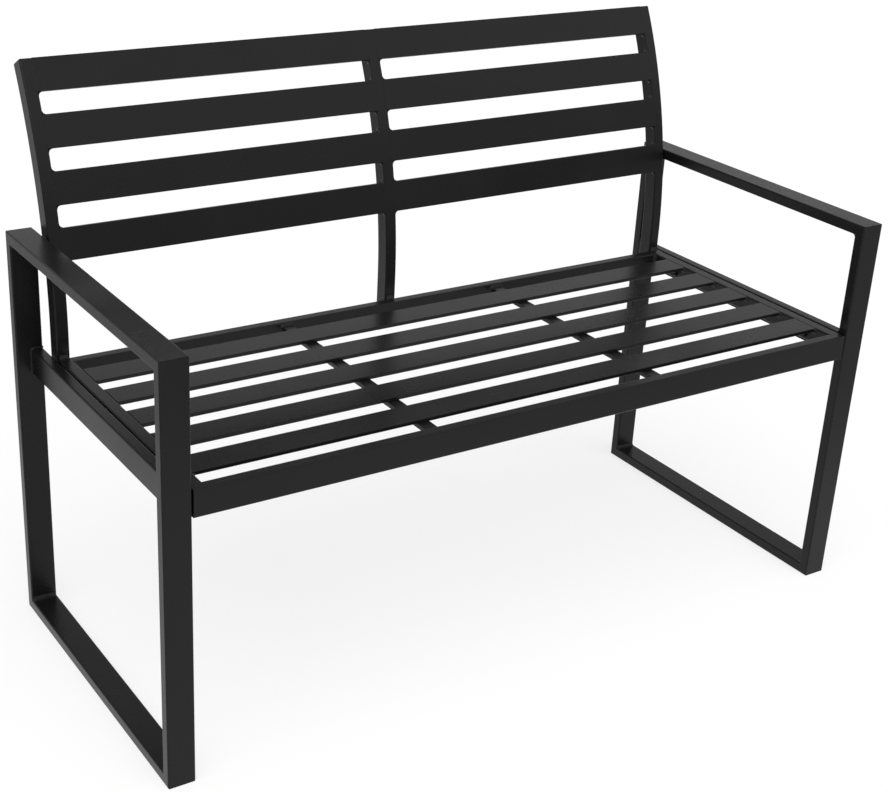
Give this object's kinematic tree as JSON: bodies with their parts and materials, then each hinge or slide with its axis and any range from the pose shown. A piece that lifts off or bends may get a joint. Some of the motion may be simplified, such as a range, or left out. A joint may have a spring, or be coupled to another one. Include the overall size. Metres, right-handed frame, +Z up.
{
  "type": "garden bench",
  "caption": "Metal garden bench: slatted seat and curved slatted back in black powder-coated steel, held between mitred loop side frames with flat armrests.",
  "frame": {"origin": "on the floor, in the middle of the bench's outline seen from above", "axes": "+Z up, +X to the right along the bench as seen from in front of it, the sitter looks along -Y"},
  "size_m": [1.27, 0.5978, 0.8948],
  "materials": {
    "frame_coat": "satin black powder coat",
    "bolt_steel": "black oxide",
    "nut_steel": "zinc plated, dull",
    "spacer_plastic": "matte black nylon"
  },
  "bodies": {
    "root": {"back_centre_post": "frame_coat", "back_left_post": "frame_coat", "back_left_slat_1": "frame_coat", "back_left_slat_2": "frame_coat", "back_left_slat_3": "frame_coat", "back_left_slat_4": "frame_coat", "back_right_post": "frame_coat", "back_right_slat_1": "frame_coat", "back_right_slat_2": "frame_coat", "back_right_slat_3": "frame_coat", "back_right_slat_4": "frame_coat", "bolt_washers": "bolt_steel", "frame_bolts": "bolt_steel", "left_armrest": "frame_coat", "left_floor_rail": "frame_coat", "left_front_leg": "frame_coat", "left_rear_leg": "frame_coat", "left_side_rail": "frame_coat", "post_caps": "frame_coat", "right_armrest": "frame_coat", "right_floor_rail": "frame_coat", "right_front_leg": "frame_coat", "right_rear_leg": "frame_coat", "right_side_rail": "frame_coat", "seat_front_rail": "frame_coat", "seat_left_end_rail": "frame_coat", "seat_left_support": "frame_coat", "seat_rear_rail": "frame_coat", "seat_right_end_rail": "frame_coat", "seat_right_support": "frame_coat", "seat_slat_1": "frame_coat", "seat_slat_2": "frame_coat", "seat_slat_3": "frame_coat", "seat_slat_4": "frame_coat", "seat_slat_5": "frame_coat", "spacer_rings": "spacer_plastic", "weld_nuts": "nut_steel"}
  },
  "joints": []
}
